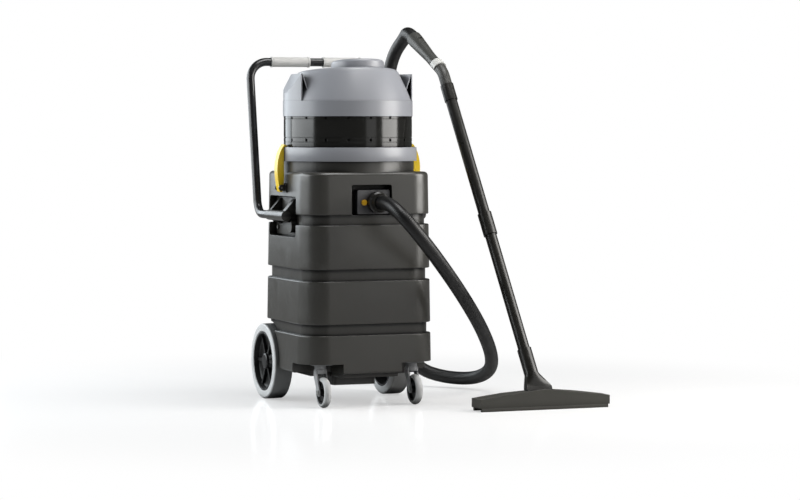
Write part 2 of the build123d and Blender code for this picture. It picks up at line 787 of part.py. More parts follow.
with BuildPart() as vent_ring:
    with BuildSketch(Plane.XY.offset(vent_low)):
        Circle(vent_radius)
        Circle(vent_radius - vent_wall, mode=Mode.SUBTRACT)
    extrude(amount=skirt_low - vent_low - press_gap)
    with BuildSketch(Plane.XY.offset(vent_low)):
        Circle(vent_radius)
        Circle(vent_baffle_radius, mode=Mode.SUBTRACT)
    extrude(amount=vent_wall)
    with BuildSketch(Plane.XY.offset(vent_low)):
        Circle(vent_baffle_radius + vent_wall)
        Circle(vent_baffle_radius, mode=Mode.SUBTRACT)
    extrude(amount=skirt_low - vent_low - press_gap)
    for low, high in vent_lines:
        with BuildSketch(Plane.XY.offset(low)):
            Circle(vent_radius + 5)
            Circle(vent_radius - vent_line, mode=Mode.SUBTRACT)
        extrude(amount=high - low, mode=Mode.SUBTRACT)
    for row in vent_rows:
        with BuildSketch(Plane.XY.offset(row - vent_slot / 2)):
            with PolarLocations(vent_radius, vent_count, start_angle=-90):
                Rectangle(2 * vent_wall + 2, vent_slot)
        extrude(amount=vent_slot, mode=Mode.SUBTRACT)
save(vent_ring, "vent_ring")

# ------------------------------------------------------------------------ head dome
crown_normal = Vector(0, sin(radians(crown_tilt)), cos(radians(crown_tilt)))
crown_plane = Plane(origin=(0, 0, crown_z), x_dir=(1, 0, 0), z_dir=crown_normal)
crown_inside = crown_plane.offset(-dome_wall)
lift_outer_slope = Vector(0.87, 0.13, 0.47)       # outward face of a lifting ear
lift_outer_point = Vector(skirt_radius - 19, -75, lift_top)
lift_inner_slope = Vector(0.94, 0.14, -0.31)      # finger side of a lifting ear
lift_inner_point = Vector(skirt_radius - 24, -75, lift_top)
switch_z = (skirt_low + skirt_top) / 2
switch_x = 24
switch_pocket = (27.8, 21)
panel_half = 52
panel_y = skirt_radius - 6
panel_depth = 16



def lift_wedges(margin, back_y):
    """The two ears, or with a margin the pockets inside them, from their front end to back_y."""
    with BuildPart() as wedges:
        with BuildSketch(Plane.XY.offset(skirt_top - 6)):
            with Locations((0, (back_y - lift_half_width) / 2)):
                Rectangle(3 * skirt_radius, back_y + lift_half_width)
            Circle(skirt_radius - skirt_ledge - margin, mode=Mode.INTERSECT)
            Rectangle(1.4 * skirt_radius, 3 * skirt_radius, mode=Mode.SUBTRACT)
        extrude(amount=lift_top - skirt_top + 6)
        for side in (-1, 1):
            for point, slope, way in ((lift_outer_point, lift_outer_slope, 1),
                                      (lift_inner_point, lift_inner_slope, -1)):
                outward = Vector(side * slope.X, slope.Y, slope.Z)
                corner = Vector(side * point.X, point.Y, point.Z) - outward * (way * margin)
                with BuildSketch(Plane(origin=corner, z_dir=outward)):
                    Rectangle(4 * skirt_radius, 4 * skirt_radius)
                extrude(amount=way * lift_half_width, mode=Mode.SUBTRACT)
    return wedges


with BuildPart() as lift_ears:
    add(lift_wedges(0, lift_half_width).part)
    add(lift_wedges(lift_wall, lift_pocket - lift_half_width).part, mode=Mode.SUBTRACT)

with BuildPart() as dome_solid:
    with BuildSketch(Plane.XZ):
        with BuildLine():
            Polyline((0, skirt_low), (skirt_radius, skirt_low), (skirt_radius, skirt_top),
                     (dome_foot_radius, skirt_top))
            ThreePointArc((dome_foot_radius, skirt_top), (dome_middle_radius, dome_middle_z),
                          (dome_crown_radius, dome_crown_z))
            Polyline((dome_crown_radius, dome_crown_z), (0, dome_crown_z), (0, skirt_low))
        make_face()
    revolve(axis=Axis.Z)
    split(bisect_by=crown_plane, keep=Keep.BOTTOM)
    crown_face = dome_solid.faces().filter_by(GeomType.PLANE).sort_by(Axis.Z)[-1]
    fillet(crown_face.edges(), crown_edge)

with BuildPart() as dome_inside:
    with BuildSketch(Plane.XZ):
        with BuildLine():
            Polyline((0, skirt_low - 1), (skirt_radius - dome_wall, skirt_low - 1),
                     (skirt_radius - dome_wall, skirt_top - dome_wall),
                     (dome_foot_radius - dome_wall - 1, skirt_top - dome_wall))
            ThreePointArc((dome_foot_radius - dome_wall - 1, skirt_top - dome_wall),
                          (dome_middle_radius - dome_wall - 1, dome_middle_z - dome_wall),
                          (dome_crown_radius - dome_wall - 1, dome_crown_z - dome_wall))
            Polyline((dome_crown_radius - dome_wall - 1, dome_crown_z - dome_wall),
                     (0, dome_crown_z - dome_wall), (0, skirt_low - 1))
        make_face()
    revolve(axis=Axis.Z)
    split(bisect_by=crown_inside, keep=Keep.BOTTOM)
    # backing of the switch panel
    with BuildSketch(Plane.XZ.offset(-skirt_radius - 5)):
        with Locations((0, switch_z)):
            Rectangle(2 * panel_half + 8, skirt_top - skirt_low - 4)
    extrude(amount=panel_depth + 12, mode=Mode.SUBTRACT)

with BuildPart() as head_dome:
    add(dome_solid.part)
    add(lift_ears.part)
    add(dome_inside.part, mode=Mode.SUBTRACT)
    with BuildSketch(Plane.XZ.offset(-panel_y)):
        with Locations((0, switch_z)):
            RectangleRounded(2 * panel_half, skirt_top - skirt_low - 12, 4)
    extrude(amount=-skirt_radius / 4, mode=Mode.SUBTRACT)
    with BuildSketch(Plane.XZ.offset(-panel_y)):
        with Locations((-switch_x, switch_z), (switch_x, switch_z)):
            Rectangle(*switch_pocket)
    extrude(amount=3 * panel_depth, mode=Mode.SUBTRACT)
save(head_dome, "head_dome")

# ------------------------------------------------------------------------- head cap
cap_dome = 4
cap_round = 9
cap_rim = cap_height - cap_dome
cap_top_half = cap_radius - 1 - cap_round
cap_sphere = (cap_top_half ** 2 + cap_dome ** 2) / (2 * cap_dome)
cap_mid_z = cap_height - cap_sphere + sqrt(cap_sphere ** 2 - cap_top_half ** 2 / 4)

with BuildPart() as cap_upright:
    with BuildSketch(Plane.XZ):
        with BuildLine():
            Polyline((0, 0), (cap_radius, 0), (cap_radius - 1, cap_rim - cap_round))
            ThreePointArc((cap_radius - 1, cap_rim - cap_round),
                          (cap_radius - 1 - 0.3 * cap_round, cap_rim - 0.3 * cap_round),
                          (cap_top_half, cap_rim))
            ThreePointArc((cap_top_half, cap_rim), (cap_top_half / 2, cap_mid_z),
                          (0, cap_height))
            Line((0, cap_height), (0, 0))
        make_face()
    revolve(axis=Axis.Z)

cap_origin = (crown_plane.origin + crown_plane.x_dir * cap_x + crown_plane.y_dir * cap_y
              + crown_normal * press_gap)
with BuildPart() as head_cap:
    with Locations(Location(Plane(origin=cap_origin, x_dir=(1, 0, 0), z_dir=crown_normal))):
        add(cap_upright.part)
save(head_cap, "head_cap")

# ------------------------------------------------------------------ motors and fans
shaft_radius = 4
motor_low = plenum_top + press_gap
motor_top = motor_low + motor_height
fan_low = motor_top + 4
fan_height = 10
fan_blades = 8

for side, side_name in ((-1, "left"), (1, "right")):
    x = side * motor_x
    motor_plane = Plane(origin=(x, 0, motor_low), x_dir=(1, 0, 0), z_dir=(0, -1, 0))
    with BuildPart() as motor:
        with BuildSketch(motor_plane):
            with BuildLine():
                Polyline((shaft_radius + running_fit, 30), (motor_radius - 6, 30),
                         (motor_radius - 6, 0), (motor_radius, 4), (motor_radius, 52),
                         (motor_radius - 5, 57), (motor_radius - 14, 57), (motor_radius - 16, 102),
                         (20, 105), (18, motor_height), (shaft_radius + running_fit, motor_height),
                         close=True)
            make_face()
        revolve(axis=Axis((x, 0, 0), (0, 0, 1)))
        with BuildSketch(Plane.XY.offset(motor_low)):
            with Locations((x, 0)):
                Circle(motor_radius - 2)
                Circle(21, mode=Mode.SUBTRACT)
        extrude(amount=5)
    save(motor, f"motor_{side_name}")

    with BuildPart() as fan:
        with BuildSketch(Plane.XY.offset(motor_low + 40)):
            with Locations((x, 0)):
                Circle(shaft_radius)
        extrude(amount=fan_low + fan_height - motor_low - 40 + 3)
        with BuildSketch(Plane.XY.offset(fan_low)):
            with Locations((x, 0)):
                Circle(fan_radius)
        extrude(amount=2)
        with BuildSketch(Plane.XY.offset(fan_low)):
            with Locations((x, 0)):
                Circle(14)
        extrude(amount=fan_height)
        with BuildSketch(Plane.XY.offset(fan_low)):
            with Locations((x, 0)):
                with PolarLocations(fan_radius / 2 + 5, fan_blades):
                    Rectangle(fan_radius - 14, 2.5, rotation=25)
        extrude(amount=fan_height)
    save(fan, f"fan_{side_name}")

# --------------------------------------------------------------------------- switches
rocker_half = 9
rocker_face = 8
rocker_tilt = 10
rocker_width = switch_pocket[0] - 2 * seat_gap
rocker_y = panel_y - 6

for side, side_name in ((-1, "left"), (1, "right")):
    rocker_plane = Plane(origin=(side * switch_x - rocker_width / 2, rocker_y, switch_z),
                         x_dir=(0, cos(radians(rocker_tilt)), -sin(radians(rocker_tilt))),
                         z_dir=(1, 0, 0))
    with BuildPart() as rocker:
        with BuildSketch(rocker_plane):
            with BuildLine():
                Polyline((-7, -rocker_half + 1), (rocker_face - 1, -rocker_half),
                         (rocker_face + 0.5, -rocker_half + 1), (rocker_face - 1.5, 0),
                         (rocker_face + 0.5, rocker_half - 1), (rocker_face - 1, rocker_half),
                         (-7, rocker_half - 1), close=True)
            make_face()
        extrude(amount=rocker_width)
        with BuildSketch(Plane.YZ.offset(side * switch_x - switch_pocket[0] / 2 + 0.05)):
            with Locations((rocker_y, switch_z)):
                Circle(2)
        extrude(amount=switch_pocket[0] - 0.1)
    save(rocker, f"switch_{side_name}")

# ------------------------------------------------------------------- power cord gland
gland_angle = 118
gland_radius = 13
gland_bore = 5
gland_way = Vector(cos(radians(gland_angle)), sin(radians(gland_angle)), 0)
gland_origin = gland_way * (skirt_radius + press_gap) + Vector(0, 0, switch_z)

with BuildPart() as cord_gland:
    gland_plane = Plane(origin=gland_origin, x_dir=(0, 0, 1), z_dir=gland_way)
    with BuildSketch(gland_plane):
        Circle(gland_radius + 3)
    extrude(amount=3)
    with BuildSketch(gland_plane):
        RegularPolygon(gland_radius, 6)
    extrude(amount=11)
    with BuildSketch(gland_plane.offset(11)):
        Circle(gland_radius - 4)
    extrude(amount=5, taper=12)
    with BuildSketch(gland_plane.offset(4)):
        Circle(gland_bore)
    extrude(amount=20, mode=Mode.SUBTRACT)
save(cord_gland, "cord_gland")

# ------------------------------------------------------------------------- hose inlet
plate_back_y = inlet_recess_floor - press_gap
button_hole = button_radius + slide_fit
button_face_y = inlet_plate_front - 5
button_depth = 12
connector_front_y = inlet_plate_front - 42
collar_back_y = inlet_plate_front - press_gap

with BuildPart() as inlet_plate:
    with BuildSketch(Plane.XZ.offset(-plate_back_y)):
        with Locations(((inlet_plate_left + inlet_plate_right) / 2,
                        (inlet_plate_low + inlet_plate_high) / 2)):
            RectangleRounded(inlet_plate_right - inlet_plate_left,
                             inlet_plate_high - inlet_plate_low, 5)
    extrude(amount=plate_back_y - inlet_plate_front)
    fillet(inlet_plate.faces().sort_by(Axis.Y)[0].edges(), 1.5)
    with BuildSketch(Plane.XZ.offset(-inlet_plate_front)):
        with Locations((inlet_x, inlet_z)):
            Circle(spigot_radius + press_gap)
    extrude(amount=-2 * inlet_recess_depth, mode=Mode.SUBTRACT)
    with BuildSketch(Plane.XZ.offset(-inlet_plate_front)):
        with Locations((button_x, inlet_z)):
            Circle(button_hole)
    extrude(amount=-(button_depth + button_travel + seat_gap), mode=Mode.SUBTRACT)
save(inlet_plate, "inlet_plate")

with BuildPart() as inlet_button:
    with BuildSketch(Plane.XZ.offset(-button_face_y)):
        with Locations((button_x, inlet_z)):
            Circle(button_radius)
    extrude(amount=-(inlet_plate_front + button_depth - button_face_y))
    fillet(inlet_button.edges().group_by(Axis.Y)[0], 1.5)
save(inlet_button, "inlet_button")

with BuildPart() as hose_connector:
    with BuildSketch(Plane(origin=(inlet_x, 0, inlet_z), x_dir=(0, -1, 0), z_dir=(1, 0, 0))):
        with BuildLine():
            Polyline((-inlet_recess_floor - 14, spigot_bore), (-inlet_recess_floor - 14, spigot_radius),
                     (-collar_back_y, spigot_radius), (-collar_back_y, collar_radius),
                     (-collar_back_y + 20, collar_radius), (-collar_back_y + 24, collar_radius - 4),
                     (-connector_front_y, hose_radius + 3), (-connector_front_y, hose_radius - 4),
                     (-connector_front_y - 8, spigot_bore), close=True)
        make_face()
    revolve(axis=Axis((inlet_x, 0, inlet_z), (0, 1, 0)))
save(hose_connector, "hose_connector")

deflector_length = 46
deflector_wall = 3
deflector_start = inlet_recess_floor + tank_wall + press_gap

with BuildPart() as inlet_deflector:
    with BuildSketch(Plane.XZ.offset(-deflector_start)):
        with Locations((inlet_x, inlet_z)):
            Circle(collar_radius + deflector_wall)
    extrude(amount=-deflector_length)
    with BuildSketch(Plane.XZ.offset(-deflector_start + 1)):
        with Locations((inlet_x, inlet_z)):
            Circle(collar_radius)
    extrude(amount=-(deflector_length - deflector_wall + 1), mode=Mode.SUBTRACT)
    with BuildSketch(Plane.XZ.offset(-deflector_start - 12)):
        with Locations((inlet_x, inlet_z - collar_radius)):
            Rectangle(2 * collar_radius, 2 * collar_radius)
    extrude(amount=-deflector_length, mode=Mode.SUBTRACT)
save(inlet_deflector, "inlet_deflector")

# ------------------------------------------------------------------------------- hose
wand_axis = (wand_bend - wand_foot).normalized()
grip_axis = (wand_end - wand_bend).normalized()
hose_lead = 44            # straight run of the hose out of the wand handle
hose_route = [
    (inlet_x, connector_front_y, inlet_z), (inlet_x, -292, inlet_z), (34, -350, 570),
    (80, -362, 515), (150, -336, 442), (262, -262, 328), (376, -152, 212), (462, -30, 116),
    (498, 80, 62), (488, 186, 32), (425, 268, 32), (360, 322, 56), (308, 345, 130),
    (283, 352, 260), (274, 356, 440), (270, 362, 600), (266, 364, 760), (264, 356, 900),
    (264, 334, 1000), (272, 304, 1058), (284, 256, 1097),
    tuple(wand_end + grip_axis * hose_lead), tuple(wand_end)]
arc_share = 0.45


def route_radii(points):
    """Arc radius at each inner point, from the shorter run beside it and the turn."""
    radii = []
    for before, here, after in zip(points, points[1:], points[2:]):
        first = Vector(*here) - Vector(*before)
        second = Vector(*after) - Vector(*here)
        turn = radians(first.get_angle(second))
        radii.append(arc_share * min(first.length, second.length) / tan(turn / 2))
    return radii


hose_radii = route_radii(hose_route)
print("hose bend radii", [round(radius) for radius in hose_radii])

with BuildPart() as hose:
    with BuildLine() as hose_line:
        FilletPolyline(*hose_route, radius=hose_radii)
    with BuildSketch(Plane(origin=hose_route[0],
                           z_dir=Vector(*hose_route[1]) - Vector(*hose_route[0]))):
        Circle(hose_radius)
    sweep()
hose_length = hose_line.wires()[0].length
print("hose length", round(hose_length), "volume ratio",
      round(hose.part.volume / (pi * hose_radius ** 2 * hose_length), 4))
save(hose, "hose")

# ------------------------------------------------------------------------------- wand
wand_length = (wand_bend - wand_foot).length
grip_length = (wand_end - wand_bend).length
collar_start = 45
joint_at = collar_start + collar_length / 2
coupling_middle = 505
tube_gap = 0.3
lower_end = wand_length - 40
cuff_length = 78


def along_wand(distance):
    """Sketch plane across the wand, a distance down from the bend."""
    return Plane(origin=wand_bend - wand_axis * distance, z_dir=wand_axis * -1)


def wand_tube(start, end, outer, inner):
    with BuildPart() as tube:
        with BuildSketch(along_wand(start)):
            Circle(outer)
            Circle(inner, mode=Mode.SUBTRACT)
        extrude(amount=end - start)
    return tube


with BuildPart() as wand_handle:
    with BuildLine():
        FilletPolyline(wand_bend - wand_axis * (joint_at - tube_gap), wand_bend, wand_end,
                       radius=handle_bend_radius)
    with BuildSketch(along_wand(joint_at - tube_gap)):
        Circle(wand_radius)
        Circle(wand_radius - 3, mode=Mode.SUBTRACT)
    sweep()
    with BuildSketch(Plane(origin=wand_end - grip_axis * (grip_length * 0.6), z_dir=grip_axis)):
        Circle(wand_radius - 0.5)
    with BuildSketch(Plane(origin=wand_end - grip_axis * 14, z_dir=grip_axis)):
        Circle(handle_end_radius)
    loft()
    with BuildSketch(Plane(origin=wand_end - grip_axis * 14, z_dir=grip_axis)):
        Circle(handle_end_radius)
    extrude(amount=14)
    with BuildSketch(Plane(origin=wand_end - grip_axis * (grip_length * 0.62), z_dir=grip_axis)):
        Circle(wand_radius - 3)
    extrude(amount=grip_length, mode=Mode.SUBTRACT)
    # cross slot in the top of the grip
    slot_up = (Vector(0, 0, 1) - grip_axis * grip_axis.Z).normalized()
    slot_point = wand_end - grip_axis * slot_back + slot_up * (handle_end_radius - slot_depth)
    with BuildSketch(Plane(origin=slot_point, x_dir=grip_axis.cross(slot_up), z_dir=slot_up)):
        SlotOverall(slot_length, slot_width)
    extrude(amount=2 * slot_depth, mode=Mode.SUBTRACT)
save(wand_handle, "wand_handle")

save(wand_tube(collar_start, collar_start + collar_length, coupling_radius - 1,
               wand_radius + press_gap), "wand_coupling_upper")
save(wand_tube(joint_at, coupling_middle - tube_gap / 2, wand_radius, wand_radius - wand_wall),
     "wand_upper_tube")
save(wand_tube(coupling_middle - coupling_length / 2, coupling_middle + coupling_length / 2,
               coupling_radius, wand_radius + press_gap), "wand_coupling_lower")
save(wand_tube(coupling_middle + tube_gap / 2, lower_end, wand_radius, wand_radius - wand_wall),
     "wand_lower_tube")

# air slider: a saddle that slides along the straight part of the grip
slider_length = 26
slider_start = 20
slider_wall = 3.6
with BuildPart() as air_slider:
    slider_plane = Plane(origin=wand_bend + grip_axis * slider_start,
                         x_dir=wand_axis.cross(grip_axis), z_dir=grip_axis)
    with BuildSketch(slider_plane):
        Circle(wand_radius + slide_fit + slider_wall)
        Circle(wand_radius + slide_fit, mode=Mode.SUBTRACT)
        with Locations((0, -wand_radius)):
            Rectangle(4 * wand_radius, 2 * wand_radius, mode=Mode.SUBTRACT)
    extrude(amount=slider_length)
save(air_slider, "air_slider")

# ------------------------------------------------------------------------- floor tool
barrel_radius = 14
barrel_half = 41
barrel_gap = 1.5
neck_half = 40            # half width of the neck's flared foot
pivot = Vector(tool_pivot_x, tool_front_y + 26, tool_pivot_z)
neck_up = Vector(0, wand_foot.Y - pivot.Y, wand_foot.Z - pivot.Z).normalized()
neck_foot_length = 27
neck_shoulder = pivot + neck_up * neck_foot_length

with BuildPart() as tool_neck:
    with BuildSketch(along_wand(wand_length - cuff_length)):
        Circle(coupling_radius)
        Circle(wand_radius + press_gap, mode=Mode.SUBTRACT)
    extrude(amount=cuff_length - 38)
    with BuildSketch(along_wand(wand_length - 38)):
        Circle(coupling_radius)
        Circle(wand_radius - 3, mode=Mode.SUBTRACT)
    extrude(amount=38)
    with BuildSketch(Plane(origin=wand_foot, z_dir=wand_axis * -1)):
        Circle(coupling_radius)
    with BuildSketch(Plane(origin=neck_shoulder, x_dir=(1, 0, 0), z_dir=neck_up * -1)):
        Rectangle(2 * neck_half, 2 * barrel_radius - 4)
    loft()
    with BuildSketch(Plane(origin=pivot, x_dir=(1, 0, 0), z_dir=neck_up)):
        Rectangle(2 * neck_half, 2 * barrel_radius - 4)
    extrude(amount=neck_foot_length)
    with BuildSketch(Plane.YZ.offset(pivot.X - barrel_half)):
        with Locations((pivot.Y, pivot.Z)):
            Circle(barrel_radius)
    extrude(amount=2 * barrel_half)
    with BuildSketch(Plane.YZ.offset(pivot.X - 2 * barrel_half)):
        with Locations((pivot.Y, pivot.Z)):
            Circle(tool_pin_radius + running_fit)
    extrude(amount=4 * barrel_half, mode=Mode.SUBTRACT)
save(tool_neck, "tool_neck")

channel_half = barrel_half + barrel_gap
channel_floor = tool_pivot_z - barrel_radius - 3
channel_front = pivot.Y - barrel_radius - 5
pin_half = channel_half + 16
mouth_depth = 16
mouth_width = 24
mouth_inset = 12          # of the mouth from the ends of the head
tool_shoulder_height = (tool_end_height + tool_mid_height) / 2 + 1

with BuildPart() as tool_head:
    with BuildSketch(Plane.XZ.offset(-tool_front_y)):
        with BuildLine():
            Polyline((tool_x - tool_half, tool_end_height), (tool_x - tool_half, tool_blade_height),
                     (tool_x + tool_half, tool_blade_height), (tool_x + tool_half, tool_end_height))
            ThreePointArc((tool_x + tool_half, tool_end_height),
                          (tool_x + tool_half / 2, tool_shoulder_height),
                          (tool_x, tool_mid_height))
            ThreePointArc((tool_x, tool_mid_height),
                          (tool_x - tool_half / 2, tool_shoulder_height),
                          (tool_x - tool_half, tool_end_height))
        make_face()
    extrude(amount=-tool_depth)
    # the top falls away to the back
    split(bisect_by=Plane(origin=(tool_x, tool_front_y + tool_depth, tool_mid_height - 12),
                          x_dir=(1, 0, 0), z_dir=(0, 0.3, 0.95)), keep=Keep.BOTTOM)
    with BuildSketch(Plane.XY.offset(channel_floor)):
        with Locations((pivot.X, channel_front)):
            Rectangle(2 * channel_half, 2 * tool_depth, align=(Align.CENTER, Align.MIN))
    extrude(amount=2 * tool_mid_height, mode=Mode.SUBTRACT)
    with BuildSketch(Plane.YZ.offset(pivot.X - pin_half)):
        with Locations((pivot.Y, pivot.Z)):
            Circle(tool_pin_radius + press_gap)
    extrude(amount=2 * pin_half, mode=Mode.SUBTRACT)
    with BuildSketch(Plane.XY):
        with Locations((tool_x, tool_front_y + tool_depth / 2)):
            Rectangle(2 * (tool_half - mouth_inset), mouth_width)
    extrude(amount=tool_blade_height + mouth_depth - 6, mode=Mode.SUBTRACT)
save(tool_head, "tool_head")

blade_depth = 9
blade_inset = 5           # of the blades from the ends of the head
for name, start in (("front", tool_front_y), ("rear", tool_front_y + tool_depth - blade_depth)):
    with BuildPart() as blade:
        with BuildSketch(Plane.XY):
            with Locations((tool_x, start + blade_depth / 2)):
                Rectangle(2 * (tool_half - blade_inset), blade_depth)
        extrude(amount=tool_blade_height)
    save(blade, f"tool_blade_{name}")

with BuildPart() as tool_pivot_pin:
    with BuildSketch(Plane.YZ.offset(pivot.X - pin_half)):
        with Locations((pivot.Y, pivot.Z)):
            Circle(tool_pin_radius)
    extrude(amount=2 * pin_half)
save(tool_pivot_pin, "tool_pivot_pin")
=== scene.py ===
import json
import math

import bpy
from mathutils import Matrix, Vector


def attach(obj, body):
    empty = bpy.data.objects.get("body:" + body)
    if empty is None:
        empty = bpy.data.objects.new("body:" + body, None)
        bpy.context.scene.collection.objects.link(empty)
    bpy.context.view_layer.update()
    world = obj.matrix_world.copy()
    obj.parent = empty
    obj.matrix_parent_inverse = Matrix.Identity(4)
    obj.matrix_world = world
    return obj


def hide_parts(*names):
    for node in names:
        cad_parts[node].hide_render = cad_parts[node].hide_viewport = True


# A wet and dry vacuum cleaner.  Metres, +Z up, the hose inlet faces -Y.

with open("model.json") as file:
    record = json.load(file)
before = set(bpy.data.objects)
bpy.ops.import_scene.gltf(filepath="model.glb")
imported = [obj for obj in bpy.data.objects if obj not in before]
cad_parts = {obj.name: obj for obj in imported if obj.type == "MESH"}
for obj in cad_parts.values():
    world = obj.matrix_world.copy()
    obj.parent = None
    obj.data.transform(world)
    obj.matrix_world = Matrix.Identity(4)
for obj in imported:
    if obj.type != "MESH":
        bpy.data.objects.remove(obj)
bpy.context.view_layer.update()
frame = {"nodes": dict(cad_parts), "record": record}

# ------------------------------------------------------------------------- driving sizes
HOSE_RADIUS = 0.0205
HOSE_RIB_PITCH = 0.0052
HOSE_RIB_DEPTH = 0.0006
HOSE_SIDES = 28
HOSE_RINGS_PER_RIB = 5
HOSE_ROUTE = [
    (0.018, -0.236, 0.601), (0.018, -0.292, 0.601), (0.034, -0.350, 0.570),
    (0.080, -0.362, 0.515), (0.150, -0.336, 0.442), (0.262, -0.262, 0.328),
    (0.376, -0.152, 0.212), (0.462, -0.030, 0.116), (0.498, 0.080, 0.062),
    (0.488, 0.186, 0.032), (0.425, 0.268, 0.032), (0.360, 0.322, 0.056),
    (0.308, 0.345, 0.130), (0.283, 0.352, 0.260), (0.274, 0.356, 0.440),
    (0.270, 0.362, 0.600), (0.266, 0.364, 0.760), (0.264, 0.356, 0.900),
    (0.264, 0.334, 1.000), (0.272, 0.304, 1.058), (0.284, 0.256, 1.097),
    (0.2733, 0.2001, 1.1169), (0.279, 0.163, 1.094)]


def linear(red, green, blue):
    """Scene-linear colour of an 8-bit sRGB colour."""
    def channel(value):
        share = value / 255
        return share / 12.92 if share <= 0.04045 else ((share + 0.055) / 1.055) ** 2.4
    return channel(red), channel(green), channel(blue), 1.0


# ----------------------------------------------------------------------------- materials
GAP_SHADE_REACH = 0.03           # how near a face must be to paint shade on another
GAP_SHADE_CLOSED = 0.35          # open share at which the painted shade in a gap is darkest
GAP_SHADE_OPEN = 0.9             # open share from which no shade is painted on a face
GAP_SHADE_SAMPLES = 6
EDGE_SAMPLES = 4
NOISE_LOW = 0.3            # the middle range that noise values fall in
NOISE_HIGH = 0.7
MOTTLING_SCALE = 9
MOTTLING_DETAIL = 4
GLOSS_SCALE = 22
GLOSS_DETAIL = 5
GRAIN_DETAIL = 2
COAT_ROUGHNESS = 0.12
GRIP_RIB = 0.0035          # pitch of the ribs on the handle's grips
WAVE_PER_RIB = 0.314       # scale of a wave texture with one band in a metre
RIB_SLENDERNESS = 6        # pitch over depth
TANK_GROOVES = ((0.212, 0.244), (0.371, 0.405), (0.535, 0.565))     # low and high edge
# painted shadow lines at the groove edges: height from the edge, and the share of colour left
LOW_EDGE_SHADOW = ((-0.0005, 1.0), (0.0005, 0.2), (0.003, 0.3), (0.0035, 1.0))
HIGH_EDGE_SHADOW = ((-0.010, 0.9), (-0.006, 0.2), (0.0005, 0.15), (0.0015, 1.0))
TREAD_FACING = (0.3, 0.8)  # sideways share of the normal where the painted tread shade is full, and from which the sidewall has none
WELD_REACH = 0.00001
CREASE_DEGREES = 28


def spread(tree, noise, low, high):
    """The noise's middle range as a value from low to high."""
    mapped = tree.nodes.new("ShaderNodeMapRange")
    mapped.inputs["From Min"].default_value = NOISE_LOW
    mapped.inputs["From Max"].default_value = NOISE_HIGH
    mapped.inputs["To Min"].default_value = low
    mapped.inputs["To Max"].default_value = high
    tree.links.new(noise.outputs["Fac"], mapped.inputs["Value"])
    return mapped


def groove_shadow_lines(tree, place, grooves):
    """Painted shadow by height: a thin dark line at the low and at the high edge of each
    groove.
    """
    parts = tree.nodes.new("ShaderNodeSeparateXYZ")
    tree.links.new(place.outputs["Object"], parts.inputs["Vector"])
    ramp = tree.nodes.new("ShaderNodeValToRGB")
    stops = ramp.color_ramp.elements
    for low, high in grooves:
        for edge, line in ((low, LOW_EDGE_SHADOW), (high, HIGH_EDGE_SHADOW)):
            for above, level in line:
                stop = stops.new(edge + above)
                stop.color = (level, level, level, 1)
    stops[0].color = (1, 1, 1, 1)
    tree.links.new(parts.outputs["Z"], ramp.inputs["Fac"])
    value = tree.nodes.new("ShaderNodeRGBToBW")
    tree.links.new(ramp.outputs["Color"], value.inputs["Color"])
    return value.outputs["Val"]


def tread_painted_shade(tree, place, lowest):
    """Painted shade that darkens a tyre's tread, which faces away from its axle line."""
    parts = tree.nodes.new("ShaderNodeSeparateXYZ")
    tree.links.new(place.outputs["Normal"], parts.inputs["Vector"])
    sideways = tree.nodes.new("ShaderNodeMath")
    sideways.operation = "ABSOLUTE"
    tree.links.new(parts.outputs["X"], sideways.inputs[0])
    tread_darkening = tree.nodes.new("ShaderNodeMapRange")
    tread_darkening.inputs["From Min"].default_value = TREAD_FACING[0]
    tread_darkening.inputs["From Max"].default_value = TREAD_FACING[1]
    tread_darkening.inputs["To Min"].default_value = lowest
    tree.links.new(sideways.outputs["Value"], tread_darkening.inputs["Value"])
    return tread_darkening.outputs["Result"]


